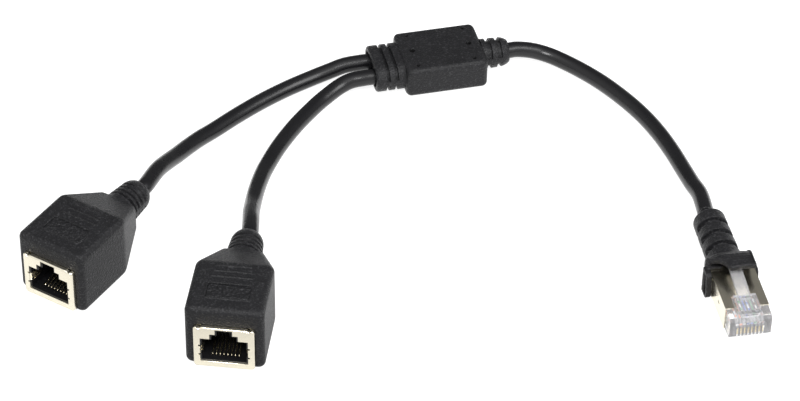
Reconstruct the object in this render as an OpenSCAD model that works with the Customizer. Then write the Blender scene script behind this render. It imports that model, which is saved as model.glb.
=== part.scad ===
// Two-way splitter lead for 8-way network cable: one shielded plug, a moulded junction, two shielded jacks.
// Millimetres. The origin is the centre of the junction block's underside, and the table is z = 0.
// Each connector is drawn in its own frame: x across, y from its front to its rear, z up from the table.

/* [Jack mouldings] */
// Width of a jack's block
jack_w = 21.5; // [19.5:0.1:24]
// Height of a jack's block
jack_h = 19.7; // [17:0.1:22]
// Length of the straight part of the block
jack_l = 19.6; // [18.8:0.1:26]
// Radius of the block's long edges
jack_edge_r = 1.8; // [0.6:0.1:2.4]
// Length of the taper behind the block
jack_taper_l = 11.6; // [9:0.1:16]
// Width of the taper's small end
taper_end_w = 12.4; // [10.8:0.1:15]
// Height of the taper's small end
taper_end_h = 9.4; // [7.6:0.1:12]
// Wall under the shield
jack_floor = 0.6; // [0.4:0.05:1.5]
// Length of the round strain relief
jack_relief_l = 10.3; // [9.6:0.1:16]
// Diameter of the strain relief at the taper
jack_relief_d = 11.2; // [9.6:0.1:12]
// Diameter of the strain relief at its tip
jack_relief_tip_d = 9.3; // [8:0.1:9.4]
// Number of grooves in the strain relief
jack_grooves = 4; // [2:1:4]
// Width of a groove
jack_groove_w = 0.8; // [0.4:0.05:1.1]
// Distance from groove to groove
jack_groove_pitch = 1.7; // [1.4:0.05:1.8]
// Depth of a groove
jack_groove_deep = 0.8; // [0.3:0.05:1]

/* [Marks on the jack tops] */
// Height that the raised marks stand proud
mark_proud = 0.25; // [0.1:0.05:0.5]
// Width of a raised line
mark_line = 0.45; // [0.3:0.05:0.8]
// Length of the longest finger rib
finger_rib_l = 11.4; // [8:0.1:14]
// Distance from finger rib to finger rib
finger_rib_pitch = 2.2; // [1.4:0.1:2.4]
// Width of the label field's border
label_w = 12.8; // [8:0.1:15]
// Depth of the label field's border, front to rear
label_d = 6.7; // [5:0.1:7.5]
// Place of the label field's front line behind the jack's front face
label_from = 4.6; // [3.5:0.1:5]

/* [Jack shields and sockets] */
// Width of the folded shield
shield_w = 16.5; // [15.6:0.1:17]
// Height of the folded shield
shield_h = 13.7; // [13.4:0.1:14.4]
// Length of the folded shield
shield_l = 17.4; // [16.8:0.1:18]
// Sheet thickness of the shield
shield_t = 0.35; // [0.2:0.05:0.4]
// Length of shield that stands out of the moulding
shield_proud = 1.3; // [0.6:0.1:1.5]
// Corner radius of the shield
shield_r = 0.9; // [0.5:0.1:1.2]
// Height of the band under the mouth
mouth_low = 1.95; // [1.9:0.05:2.2]
// Width of the plug's part of the socket
socket_w = 12.1; // [11.8:0.05:12.2]
// Height of the plug's part of the socket
socket_h = 7.1; // [6.7:0.05:7.1]
// Width of the latch's shoulder step
shoulder_w = 6.8; // [6.6:0.05:7.4]
// Height of the latch's shoulder step
shoulder_h = 1.6; // [1.4:0.05:1.6]
// Width of the latch's tongue step
tongue_step_w = 3.9; // [3.6:0.05:4.2]
// Height of the latch's tongue step
tongue_step_h = 1.6; // [1.3:0.05:1.6]
// Depth of the socket from the insert's face
socket_deep = 11.4; // [10.8:0.1:12]
// Rim of plastic that shows inside the metal mouth
rim = 0.4; // [0.2:0.05:0.4]
// Length of the insert
insert_l = 14; // [13.4:0.1:14.6]

/* [Contacts and wires] */
// Number of contacts in each connector
ways = 8; // [8:1:8]
// Distance from contact to contact
contact_pitch = 1.02; // [1:0.01:1.04]
// Diameter of a jack's spring wire
spring_d = 0.46; // [0.3:0.02:0.5]
// Thickness of a plug's blade
blade_t = 0.34; // [0.25:0.01:0.36]
// Diameter of an insulated wire
wire_d = 0.86; // [0.7:0.02:0.88]
// Thickness of the small circuit boards
board_t = 1; // [0.8:0.1:1.1]

/* [Junction block] */
// Length of the block along the cables
junction_l = 24.6; // [24:0.1:32]
// Width of the block
junction_w = 20.1; // [18.4:0.1:26]
// Height of the block
junction_h = 9.7; // [9.2:0.1:12]
// Radius of the block's edges
junction_r = 1.6; // [0.8:0.1:2]
// Length of the two-cable relief
leg_relief_l = 8.8; // [7.6:0.1:12]
// Width of the two-cable relief
leg_relief_w = 17; // [15.6:0.1:17.6]
// Height of the two-cable relief
leg_relief_h = 8.8; // [8.2:0.1:9.2]
// Distance between the two leg cables
leg_pitch = 7.6; // [7.4:0.1:8.2]
// Width of a groove in the two-cable relief
leg_groove_w = 0.9; // [0.5:0.05:1.2]
// Distance from groove to groove in the two-cable relief
leg_groove_pitch = 2.6; // [2:0.1:2.8]
// Length of the round trunk relief
trunk_relief_l = 8.3; // [7.8:0.1:11]
// Diameter of the round trunk relief
trunk_relief_d = 9.2; // [8.8:0.1:9.2]
// Width of a groove in the trunk relief
trunk_groove_w = 1.4; // [0.8:0.1:1.5]
// Distance from groove to groove in the trunk relief
trunk_groove_pitch = 3; // [2.6:0.1:3]
// Depth of the grooves in both junction reliefs
junction_groove_deep = 0.9; // [0.4:0.05:1]
// Diameter of the middle moulding dimples
dimple_large_d = 1.6; // [1:0.1:2.2]
// Diameter of the corner moulding dimples
dimple_small_d = 0.9; // [0.5:0.1:1.4]

/* [Plug] */
// Width of the clear housing
plug_w = 11.7; // [11.6:0.02:11.76]
// Height of the clear housing
plug_h = 6.5; // [6.4:0.05:6.6]
// Length of the clear housing
plug_l = 21.5; // [21.2:0.1:22.4]
// Height of the housing's underside above the table, as the boot holds it
plug_lift = 1.4; // [1.35:0.05:1.8]
// Length of bare clear nose in front of the plug shield
nose_l = 4.5; // [4.2:0.1:5]
// Sheet thickness of the plug shield
plug_shield_t = 0.2; // [0.15:0.05:0.25]
// Width of the latch's root block
latch_root_w = 6.4; // [6:0.1:6.5]
// Height of the latch's root block
latch_root_h = 1.3; // [1.1:0.05:1.4]
// Width of the latch's tongue
latch_w = 3.4; // [3:0.1:3.7]
// Rise of the latch's tongue from its root to its tip
latch_rise = 1.7; // [1.4:0.1:1.8]

/* [Plug boot] */
// Width of the boot over its side arms
boot_w = 15.6; // [15.2:0.1:17]
// Length of the whole boot and plug, nose to boot tip
boot_end = 45; // [44.6:0.1:52]
// Diameter of the ribbed relief at the hood
boot_relief_d = 9.8; // [9.4:0.1:9.8]
// Diameter of the ribbed relief at its tip
boot_tip_d = 9.2; // [8.8:0.1:9.4]
// Width of a groove in the ribbed relief
boot_groove_w = 1.9; // [1:0.1:2.2]
// Distance from groove to groove in the ribbed relief
boot_groove_pitch = 5; // [4:0.1:5.1]
// Depth of a groove in the ribbed relief
boot_groove_deep = 1.2; // [0.5:0.05:1.3]
// Height of the hood's top above the table
hood_top = 13.2; // [12.8:0.1:14]
// Width of the hood's front edge
hood_front_w = 8.4; // [7.6:0.1:9.6]
// Place of the hood's front edge behind the plug's nose
hood_from = 15.5; // [14.5:0.1:17]

/* [Cables] */
// Diameter of all three cables
cord_d = 4.8; // [4.4:0.1:5]
// Length of cable held inside each jack's relief
cord_grip = 7; // [6:0.1:7.6]

/* [Hidden] */
ways_list = [1:ways];
function numbered(stem) = [for (i = ways_list) str(stem, i)];
function jack_nodes(side) = concat(
    [for (piece = ["overmould", "shield", "insert", "tail_board", "wires"]) str(side, "_jack_", piece)],
    numbered(str(side, "_jack_contact_")));
$fn = 48;

// Clearance between a moulding and what it holds
fit = 0.05;
// Clearance round a cable in its bore
cord_gap = 0.1;
// Gap between a bare wire's end and the jacket or board that it meets
wire_gap = 0.3;
// Small overlap that joins shapes of one piece
bite = 0.2;
// Cut past a face
past = 1;

// Where each connector lies on the table, and how far it is turned about the upright
left_jack_at = [-93.9, -115.8, 0];
left_jack_turn = -25;
right_jack_at = [-43, -135.8, 0];
right_jack_turn = 0;
plug_at = [95.8, -106.8, 0];
plug_turn = 17;
junction_turn = 20.3;

// Jack places, from its front face
cord_r = cord_d / 2;
bore_r = cord_r + cord_gap;
jack_axis = jack_h / 2;
taper_end = jack_l + jack_taper_l;
jack_end = taper_end + jack_relief_l;
shield_rear = shield_l - shield_proud;
board_front = shield_rear + fit;
pocket_end = board_front + board_t + fit;
jack_cord_end = jack_end - cord_grip;
chamber_w = 11;
chamber_h = 9;
chamber_neck = jack_l + 8.4;
chamber_neck_r = 3.3;
relief_mouth_r = 3.6;
spine_w = 1.8;

// Socket outline, from the shield's underside
socket_low = mouth_low + rim;
shoulder_top = socket_low + socket_h + shoulder_h;
tongue_top = shoulder_top + tongue_step_h;
insert_w = shield_w - 2 * (shield_t + fit);
insert_h = shield_h - 2 * (shield_t + fit);
insert_front = -shield_proud + shield_t + fit;
insert_rear = insert_front + insert_l;
socket_end = insert_front + socket_deep;

// Spring wires: the bend near the mouth, the free end, and the level of the tails
bend_y = 1.7;
bend_r = 0.4;
tail_z = 1.35;
tip_y = 9.6;
tip_z = 4.6;
slot_w = spring_d + 0.16;
slot_floor = tail_z - spring_d / 2 - 0.15;
comb_from = socket_end - 2.2;

// Earthing fingers at the sides of the mouth
finger_low = 4.6;
finger_h = 2.4;
finger_l = 5.2;

// Junction places
cable_z = junction_h / 2;
leg_exit = junction_l / 2 + leg_relief_l;
trunk_exit = junction_l / 2 + trunk_relief_l;
trunk_mouth_r = 3.4;
cavity_l = 21.6;
cavity_w = 14.6;
cavity_h = 5;
junction_cord_end = cavity_l / 2 + 0.4;
splice_l = 12.4;
splice_w = 12.8;
lead_bend = splice_l / 2 + 0.4;
lead_end = splice_l / 2 - 1.8;
lead_level = board_t / 2 + wire_d / 2 + 0.12;
dimple_x = 8.6;
dimple_y = 7.5;
dimple_deep = 0.5;
// Wider than any moulding, for slices across one
wide = 30;
spine_span = [wide, spine_w];

// Plug places, from its nose
plug_axis = 4.9;
plug_mid = plug_axis - plug_lift;
channel_r = wire_d / 2 + 0.03;
channel_z = 3.9;
channel_from = 1.3;
blade_from = 0.45;
blade_rear = 5.8;
blade_low = 0.25;
blade_top = channel_z - channel_r - 0.1;
blade_slot = blade_t + 0.1;
cavity_from = 9.8;
fan_from = 14.2;
plug_cord_end = plug_l - 1.2;
latch_root_from = 1.8;
latch_root_to = 8.3;
latch_tip = 19.5;
latch_t = 1;
shell_out = fit + plug_shield_t;
plug_shield_rear = plug_l + shell_out;
ferrule_end = plug_l + 4.8;
ferrule_r = 3;
arm_gap = 0.15;
arm_from = 17.2;
sleeve_from = 20.6;
sleeve_to = 26.4;
sleeve_h = 9;
boot_mouth_r = 3.1;

// How tightly the wires bunch where they enter a jacket
bunch = 0.47;
bunch_rise = 0.5;

// Cable routes between the straight stretches at their ends, chosen by hand on the table
left_way = [
    [-28, -6.2, 4.5], [-32, -8.2, 3.6], [-36.8, -11.2, 2.8], [-43.3, -16.6, 2.4], [-49.7, -23.4, 2.4],
    [-56, -31.2, 2.4], [-61.7, -39.5, 2.7], [-65, -44.8, 3.4], [-67.6, -50, 4.2], [-69.8, -55.6, 5.4],
    [-71.8, -61.4, 7.1], [-73.4, -67.2, 8.7]];
right_way = [
    [-25.2, -13.3, 4.4], [-28.4, -15.6, 3.5], [-31.4, -19.4, 2.8], [-34.3, -24.2, 2.4], [-38.5, -33.7, 2.4],
    [-42, -44.2, 2.4], [-44.2, -54.2, 2.6], [-44.9, -61, 3.3], [-45.1, -67.6, 4.2], [-44.9, -74.2, 5.4],
    [-44.4, -80.4, 7.3], [-43.6, -86, 8.9]];
trunk_way = [
    [26.2, 9, 4.3], [30.4, 9.1, 3.4], [35, 7.8, 2.7], [41.8, 3.8, 2.4], [48.5, -1.5, 2.4],
    [55.3, -8.2, 2.4], [61.4, -15.4, 2.4], [66.6, -23.2, 2.4], [70.8, -31, 2.4], [74.2, -38.4, 2.5],
    [77.2, -45.6, 3.1], [79.8, -52, 4.1]];
// Straight stretch of cable outside each relief
lead_out = 3;
cord_sides = 12;
wire_sides = 10;

// A point in a turned frame, given in the table's frame
function turned(at, turn, p) = [
    at[0] + cos(turn) * p[0] - sin(turn) * p[1],
    at[1] + sin(turn) * p[0] + cos(turn) * p[1],
    at[2] + p[2]];
function in_junction(x, y) = turned([0, 0, 0], junction_turn, [x, y, cable_z]);
function in_jack(at, turn, y) = turned(at, turn, [0, y, jack_axis]);
function in_plug(y) = turned(plug_at, plug_turn, [0, y, plug_axis]);
function leg_start(side) = [
    in_junction(-junction_cord_end, side * leg_pitch / 2),
    in_junction(-leg_exit, side * leg_pitch / 2),
    in_junction(-leg_exit - lead_out, side * leg_pitch / 2)];
function leg_finish(at, turn) = [
    in_jack(at, turn, jack_end + lead_out),
    in_jack(at, turn, jack_end),
    in_jack(at, turn, jack_cord_end)];
left_route = concat(leg_start(1), left_way, leg_finish(left_jack_at, left_jack_turn));
right_route = concat(leg_start(-1), right_way, leg_finish(right_jack_at, right_jack_turn));
trunk_route = concat(
    [in_junction(junction_cord_end, 0), in_junction(trunk_exit, 0), in_junction(trunk_exit + lead_out, 0)],
    trunk_way,
    [in_plug(boot_end + lead_out), in_plug(boot_end), in_plug(plug_cord_end)]);

// Rings round a route, each square to the way that the route runs there
function unit(v) = v / norm(v);
function heading(p, i) = unit(p[min(i + 1, len(p) - 1)] - p[max(i - 1, 0)]);
function ring(c, h, side, r, sides) =
    let (rise = cross(side, h))
    [for (k = [0:sides - 1])
        let (a = 360 * k / sides)
        c + r * (cos(a) * side + sin(a) * rise)];
function side_of(h, side) = is_undef(side) ? unit(cross(h, [0, 0, 1])) : side;
function ring_points(p, r, sides, side) = [for (i = [0:len(p) - 1])
    let (h = heading(p, i))
    each ring(p[i], h, side_of(h, side), r, sides)];
function ring_faces(n, sides) = concat(
    [[for (k = [0:sides - 1]) k]],
    [for (i = [0:n - 2], k = [0:sides - 1])
        let (a = i * sides, b = a + sides, next = (k + 1) % sides)
        [a + k, b + k, b + next, a + next]],
    [[for (k = [sides - 1:-1:0]) (n - 1) * sides + k]]);

function way_x(i) = (i - (ways + 1) / 2) * contact_pitch;
function row_of(i) = i % 2 == 0 ? 1 : -1;

// Placing
module at_left_jack() {
    translate(left_jack_at) rotate([0, 0, left_jack_turn]) children();
}

module at_right_jack() {
    translate(right_jack_at) rotate([0, 0, right_jack_turn]) children();
}

module at_junction() {
    rotate([0, 0, junction_turn]) children();
}

module at_plug() {
    translate(plug_at) rotate([0, 0, plug_turn]) children();
}

// An outline in x and z, drawn out along y
module run(from, to) {
    translate([0, to, 0]) rotate([90, 0, 0]) linear_extrude(to - from) children();
}

// An outline in y and z, drawn out across x
module across(width) {
    translate([-width / 2, 0, 0]) rotate([90, 0, 90]) linear_extrude(width) children();
}

module rod_y(from, to, r, r_end = 0) {
    translate([0, from, 0]) rotate([-90, 0, 0]) cylinder(h = to - from, r1 = r, r2 = r_end == 0 ? r : r_end);
}

module round_rect(w, h, r) {
    square([w - 2 * r, h], center = true);
    square([w, h - 2 * r], center = true);
    for (x = [-1, 1], y = [-1, 1]) translate([x * (w / 2 - r), y * (h / 2 - r)]) circle(r);
}

// A box from its middle in x, its low corner in y and z
module slab(w, y, z, l, h) {
    translate([-w / 2, y, z]) cube([w, l, h]);
}

// A round bar from point to point
module bar(p, q, r) {
    d = q - p;
    translate(p) rotate([0, acos(d[2] / norm(d)), atan2(d[1], d[0])]) cylinder(h = norm(d), r = r, $fn = 24);
}

// A bent wire or a cable along a list of points; side is the one direction that a flat bend never leaves
module swept(route, r, sides, side) {
    polyhedron(ring_points(route, r, sides, side), ring_faces(len(route), sides), convexity = 8);
}

// Grooves round a round relief, left whole at both sides by a spine
module round_grooves(first, count, pitch, width, r_in) {
    for (k = [0:count - 1]) difference() {
        rod_y(first + k * pitch - width / 2, first + k * pitch + width / 2, r_in + 2);
        rod_y(first + k * pitch - width, first + k * pitch + width, r_in);
        slab(2 * r_in + 6, first + k * pitch - width, -spine_w / 2, 2 * width, spine_w);
    }
}

// A round relief on the y axis: a slight cone with a domed tip
module round_relief(from, to, r, tip_r, mouth_r) {
    dome_y = to - sqrt(tip_r * tip_r - mouth_r * mouth_r);
    rod_y(from, dome_y, r, tip_r);
    intersection() {
        translate([0, dome_y, 0]) sphere(tip_r);
        rod_y(dome_y - 0.01, to, tip_r + 1);
    }
}

// Jacks
module jack_block() {
    run(0, jack_l) translate([0, jack_h / 2]) round_rect(jack_w, jack_h, jack_edge_r);
    hull() {
        run(jack_l - bite, jack_l) translate([0, jack_h / 2]) round_rect(jack_w, jack_h, jack_edge_r, $fn = 32);
        run(taper_end - bite, taper_end) translate([0, jack_axis])
            round_rect(taper_end_w, taper_end_h, jack_edge_r, $fn = 32);
    }
}

module jack_relief() {
    difference() {
        round_relief(taper_end - 3.2, jack_end, jack_relief_d / 2, jack_relief_tip_d / 2, relief_mouth_r);
        round_grooves(
            taper_end + jack_groove_pitch, jack_grooves, jack_groove_pitch, jack_groove_w,
            (jack_relief_d + jack_relief_tip_d) / 4 - jack_groove_deep);
    }
}

module jack_marks() {
    translate([0, label_from + label_d / 2, jack_h - bite]) linear_extrude(bite + mark_proud) difference() {
        round_rect(label_w, label_d, 1);
        round_rect(label_w - 2 * mark_line, label_d - 2 * mark_line, 1 - mark_line);
    }
    for (k = [0:2]) {
        y = label_from + label_d + (k + 1) * finger_rib_pitch;
        slab(finger_rib_l - k, y, jack_h - bite, mark_line, bite + mark_proud);
    }
}

module jack_overmould() {
    difference() {
        union() {
            jack_block();
            translate([0, 0, jack_axis]) jack_relief();
            jack_marks();
        }
        run(-past, pocket_end) translate([0, jack_floor + shield_h / 2])
            round_rect(shield_w + 2 * fit, shield_h + 2 * fit, shield_r + fit);
        slab(chamber_w, pocket_end - bite, jack_axis - chamber_h / 2, chamber_neck - pocket_end + bite, chamber_h);
        translate([0, 0, jack_axis]) {
            rod_y(chamber_neck - bite, jack_cord_end - 0.2, chamber_neck_r);
            rod_y(jack_cord_end - 1, jack_end + past, bore_r);
        }
    }
}

// The stepped outline of the socket, wider all round by extra
module socket_outline(extra) {
    translate([-socket_w / 2 - extra, socket_low - extra]) square([socket_w + 2 * extra, socket_h + 2 * extra]);
    translate([-shoulder_w / 2 - extra, socket_low]) square([shoulder_w + 2 * extra, socket_h + shoulder_h + extra]);
    translate([-tongue_step_w / 2 - extra, socket_low]) square([tongue_step_w + 2 * extra, tongue_top - socket_low + extra]);
}

module earthing_finger() {
    edge = socket_w / 2 + rim;
    translate([0, -shield_proud, finger_low]) linear_extrude(finger_h) polygon([
        [edge + 0.1, 0], [edge - 0.5, 1.2], [edge - 0.65, 3], [edge - 0.15, finger_l + 0.9],
        [edge + 0.15, finger_l + 0.9], [edge - 0.35, 3], [edge - 0.2, 1.3], [edge + 0.4, shield_t], [edge + 0.4, 0]]);
}

module jack_shield() {
    translate([0, 0, jack_floor]) {
        difference() {
            run(-shield_proud, shield_rear) translate([0, shield_h / 2]) round_rect(shield_w, shield_h, shield_r);
            run(-shield_proud + shield_t, shield_rear - shield_t) translate([0, shield_h / 2])
                round_rect(shield_w - 2 * shield_t, shield_h - 2 * shield_t, shield_r - shield_t);
            run(-shield_proud - past, 0) socket_outline(rim);
            for (z = [finger_low - 0.55, finger_low + finger_h + 0.05])
                slab(socket_w + 2 * rim + 1, -shield_proud - past, z, 2 * past, 0.5);
            slab(ways * contact_pitch + 0.6, shield_rear - past, tail_z - 0.55, 2 * past, 1.1);
        }
        earthing_finger();
        mirror([1, 0, 0]) earthing_finger();
    }
}

module jack_insert() {
    edge = socket_w / 2;
    translate([0, 0, jack_floor]) difference() {
        union() {
            difference() {
                run(insert_front, insert_rear) translate([0, shield_h / 2])
                    round_rect(insert_w, insert_h, shield_r - shield_t - fit);
                run(insert_front - past, socket_end) socket_outline(0);
            }
            for (i = [0:ways]) translate([way_x(i) + contact_pitch / 2, 0, 0])
                slab(contact_pitch - slot_w, comb_from, socket_low - bite, socket_end - comb_from + bite, 3.2);
        }
        for (i = ways_list) translate([way_x(i), 0, 0])
            slab(slot_w, bend_y - 0.7, slot_floor, insert_l, socket_low + bite - slot_floor);
        for (x = [-1, 1]) translate([x * edge, 0, 0])
            slab(1.6, insert_front - past, finger_low - 0.2, finger_l + past + 0.9, finger_h + 0.4);
    }
}

module jack_contact(i) {
    rise = atan2(tip_z - tail_z - 2 * bend_r, tip_y - bend_y - bend_r);
    loop = [for (a = [270:-22.5:90 + rise]) [0, bend_y + bend_r * (1 + cos(a)), tail_z + bend_r * (1 + sin(a))]];
    route = concat([[0, board_front - 0.02, tail_z]], loop, [[0, tip_y, tip_z]]);
    translate([way_x(i), 0, jack_floor]) swept(route, spring_d / 2, wire_sides, [1, 0, 0]);
}

module jack_tail_board() {
    board_h = insert_h - 1;
    slab(insert_w - 1, board_front, jack_floor + (shield_h - board_h) / 2, board_t, board_h);
}

module jack_wires() {
    start = board_front + board_t + wire_gap / 2;
    for (i = ways_list) bar(
        [1.2 * way_x(i), start, jack_axis + 1.6 * row_of(i)],
        [bunch * way_x(i), jack_cord_end - wire_gap, jack_axis + bunch_rise * row_of(i)], wire_d / 2);
}

// Junction
module leg_relief_outline(less) {
    round_rect(leg_relief_w - 2 * less, leg_relief_h - 2 * less, leg_relief_h / 2 - less - 0.1);
}

// Outlines in y and z drawn out along x, for the junction
module along_x(from, to) {
    translate([from, 0, 0]) rotate([90, 0, 90]) linear_extrude(to - from) children();
}

module leg_relief() {
    difference() {
        union() {
            along_x(-leg_exit + 1, -junction_l / 2 + bite) leg_relief_outline(0);
            hull() {
                along_x(-leg_exit + 1, -leg_exit + 1.1) leg_relief_outline(0, $fn = 32);
                along_x(-leg_exit, -leg_exit + 0.1) leg_relief_outline(0.7, $fn = 32);
            }
        }
        for (k = [0:1]) difference() {
            x = -leg_exit + 3.5 + k * leg_groove_pitch;
            along_x(x - leg_groove_w / 2, x + leg_groove_w / 2) square(wide, center = true);
            along_x(x - leg_groove_w, x + leg_groove_w) leg_relief_outline(junction_groove_deep);
            along_x(x - leg_groove_w, x + leg_groove_w) square(spine_span, center = true);
        }
        along_x(-leg_exit - past, -leg_exit + 1) round_rect(leg_pitch + cord_d + 1.2, cord_d + 1.2, cord_r + 0.5);
    }
}

module trunk_relief() {
    rotate([0, 0, -90]) difference() {
        round_relief(junction_l / 2 - bite, trunk_exit, trunk_relief_d / 2, trunk_relief_d / 2 - 0.2, trunk_mouth_r);
        round_grooves(
            junction_l / 2 + 2.2, 2, trunk_groove_pitch, trunk_groove_w, trunk_relief_d / 2 - junction_groove_deep);
    }
}

module junction_block() {
    intersection() {
        along_x(-junction_l / 2, junction_l / 2) round_rect(junction_w, junction_h, junction_r);
        translate([0, 0, -junction_h]) linear_extrude(2 * junction_h) round_rect(junction_l, junction_w, junction_r);
    }
}

module junction_overmould() {
    translate([0, 0, cable_z]) difference() {
        union() {
            junction_block();
            leg_relief();
            trunk_relief();
        }
        cube([cavity_l, cavity_w, cavity_h], center = true);
        for (side = [-1, 1]) translate([0, side * leg_pitch / 2, 0]) rotate([0, 0, 90])
            rod_y(cavity_l / 2 - bite, leg_exit + past, bore_r);
        rotate([0, 0, -90]) rod_y(cavity_l / 2 - bite, trunk_exit + past, bore_r);
        for (x = [-1, 1]) {
            translate([x * dimple_x, 0, junction_h / 2 - dimple_deep]) cylinder(h = past, d = dimple_large_d);
            for (y = [-1, 1]) translate([x * dimple_x, y * dimple_y, junction_h / 2 - dimple_deep])
                cylinder(h = past, d = dimple_small_d);
        }
    }
}

module junction_splice_board() {
    translate([0, 0, cable_z]) cube([splice_l, splice_w, board_t], center = true);
}

// Eight leads from a jacket to both faces of the board; toward is -1 on the leg side and 1 on the trunk side
module splice_leads(toward, y, spread) {
    for (i = ways_list) swept([
        [toward * (junction_cord_end - wire_gap), y + bunch * way_x(i), cable_z + bunch_rise * row_of(i)],
        [toward * lead_bend, y + spread * way_x(i), cable_z + lead_level * row_of(i)],
        [toward * lead_end, y + spread * way_x(i), cable_z + lead_level * row_of(i)]], wire_d / 2, wire_sides);
}

// Plug
module plug_housing() {
    translate([0, 0, plug_lift]) difference() {
        union() {
            across(plug_w) polygon([
                [0.5, 0], [0, 0.5], [0, plug_h - 0.9], [0.6, plug_h], [plug_l, plug_h], [plug_l, 0]]);
            slab(latch_root_w, latch_root_from, plug_h - bite, latch_root_to - latch_root_from, latch_root_h + bite);
            across(latch_w) polygon([
                [latch_root_to - 0.6, plug_h + latch_root_h - latch_t], [latch_root_to - 0.6, plug_h + latch_root_h],
                [latch_tip, plug_h + latch_root_h + latch_rise],
                [latch_tip, plug_h + latch_root_h + latch_rise - latch_t]]);
        }
        slab(3, latch_root_to - 1.9, plug_h + 0.2, 0.8, latch_root_h);
        slab(4.4, 0.9, plug_h - 0.4, 0.6, 1);
        for (i = ways_list) translate([way_x(i), 0, 0]) {
            slab(blade_slot, -past, -past, blade_rear + 0.2 + past, blade_top + 0.05 + past);
            translate([0, 0, channel_z]) rod_y(channel_from, cavity_from + bite, channel_r);
        }
        slab(9.8, cavity_from, 1.6, plug_cord_end - 0.1 - cavity_from, 4.3);
        translate([0, 0, plug_mid]) rod_y(plug_cord_end - 0.3, plug_l + past, bore_r);
    }
}

module plug_shield() {
    translate([0, 0, plug_lift]) difference() {
        union() {
            run(nose_l, plug_shield_rear) translate([0, plug_h / 2])
                square([plug_w + 2 * shell_out, plug_h + 2 * shell_out], center = true);
            translate([0, 0, plug_mid]) rod_y(plug_shield_rear - bite, ferrule_end, ferrule_r);
        }
        run(nose_l - past, plug_l + fit) translate([0, plug_h / 2])
            square([plug_w + 2 * fit, plug_h + 2 * fit], center = true);
        slab(latch_root_w + 0.5, nose_l - past, plug_h - past, latch_root_to + 0.6 - nose_l + past, 2 * past);
        slab(9.2, nose_l - past, -past, blade_rear + 0.6 - nose_l + past, 2 * past);
        for (x = [-1, 1]) translate([x * plug_w / 2, 0, 0]) {
            slab(1, 10.2, 3.4, 1.3, 0.6);
            slab(1, 17.3, 5.4, 0.9, 0.6);
        }
        translate([0, 0, plug_mid]) rod_y(plug_l - past, ferrule_end + past, bore_r);
    }
}

module plug_contact(i) {
    translate([way_x(i), 0, plug_lift]) across(blade_t) polygon([
        [blade_from + 0.5, blade_low], [blade_from, blade_low + 0.6], [blade_from, 2.6], [blade_from + 0.6, blade_top],
        [blade_rear - 0.4, blade_top], [blade_rear, blade_top - 0.5], [blade_rear, blade_low]]);
}

module plug_load_bar() {
    translate([0, 0, plug_lift]) difference() {
        slab(9.2, cavity_from + 0.6, channel_z - 1.5, 3, 3);
        for (i = ways_list) translate([way_x(i), 0, channel_z]) rod_y(cavity_from, cavity_from + 5, channel_r);
    }
}

module plug_wire(i) {
    translate([0, 0, plug_lift]) swept([
        [way_x(i), channel_from + 0.2, channel_z], [way_x(i), fan_from, channel_z],
        [bunch * way_x(i), plug_cord_end - wire_gap, plug_mid + bunch_rise * row_of(i)]], wire_d / 2, wire_sides);
}

module boot_arm() {
    inner = plug_w / 2 + shell_out + arm_gap;
    translate([inner, 0, 0]) rotate([90, 0, 90]) linear_extrude(boot_w / 2 - inner) polygon([
        [arm_from + 0.9, 0.3], [arm_from, 1.5], [arm_from, 2.4], [arm_from + 1, 8], [arm_from + 1.6, 8.5],
        [sleeve_from + 1, 8.6], [sleeve_from + 1, 0.2]]);
}

module boot_hood() {
    roof = hood_top - 1.5;
    intersection() {
        across(boot_w) polygon([
            [hood_from, roof + 0.1], [hood_from, hood_top - 0.6], [hood_from + 0.7, hood_top - 0.2],
            [hood_from + 4, hood_top], [hood_from + 7, hood_top - 0.7], [sleeve_to, sleeve_h - 0.2],
            [sleeve_to - 4, sleeve_h - 1], [sleeve_to - 4, sleeve_h + 0.8], [hood_from + 5, roof - 0.4]]);
        translate([0, 0, sleeve_h - 2]) linear_extrude(10) polygon([
            [-hood_front_w / 2, hood_from - 1], [-hood_front_w / 2 - 0.1, hood_from + 2.5], [-4.9, hood_from + 5.3],
            [-5.8, sleeve_to - 3], [-5.8, sleeve_to + 1], [5.8, sleeve_to + 1], [5.8, sleeve_to - 3],
            [4.9, hood_from + 5.3], [hood_front_w / 2 + 0.1, hood_from + 2.5], [hood_front_w / 2, hood_from - 1]]);
        run(hood_from - 1, sleeve_to + 1) translate([0, hood_top - 5]) round_rect(11.8, 10, 2.6);
    }
}

module boot_relief() {
    difference() {
        round_relief(sleeve_to - 1, boot_end, boot_relief_d / 2, boot_tip_d / 2, boot_mouth_r + 0.6);
        round_grooves(sleeve_to + 3.6, 3, boot_groove_pitch, boot_groove_w, boot_tip_d / 2 - boot_groove_deep);
    }
}

module plug_boot() {
    difference() {
        union() {
            hull() {
                run(sleeve_from, sleeve_from + 1) translate([0, sleeve_h / 2])
                    round_rect(boot_w, sleeve_h, 1.6, $fn = 32);
                run(sleeve_to - bite, sleeve_to) translate([0, plug_axis])
                    circle(boot_relief_d / 2 - 0.05, $fn = 32);
            }
            boot_arm();
            mirror([1, 0, 0]) boot_arm();
            boot_hood();
            translate([0, 0, plug_axis]) boot_relief();
        }
        run(arm_from - past, plug_shield_rear + fit) translate([0, plug_lift + plug_h / 2])
            square([plug_w + 2 * (shell_out + fit), plug_h + 2 * (shell_out + fit)], center = true);
        slab(latch_w + 2, arm_from, plug_lift + plug_h, sleeve_to - 4 - arm_from, 2.6);
        translate([0, 0, plug_axis]) {
            rod_y(plug_shield_rear, ferrule_end + fit, ferrule_r + fit);
            rod_y(ferrule_end, boot_end + past, bore_r);
        }
    }
}

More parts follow.
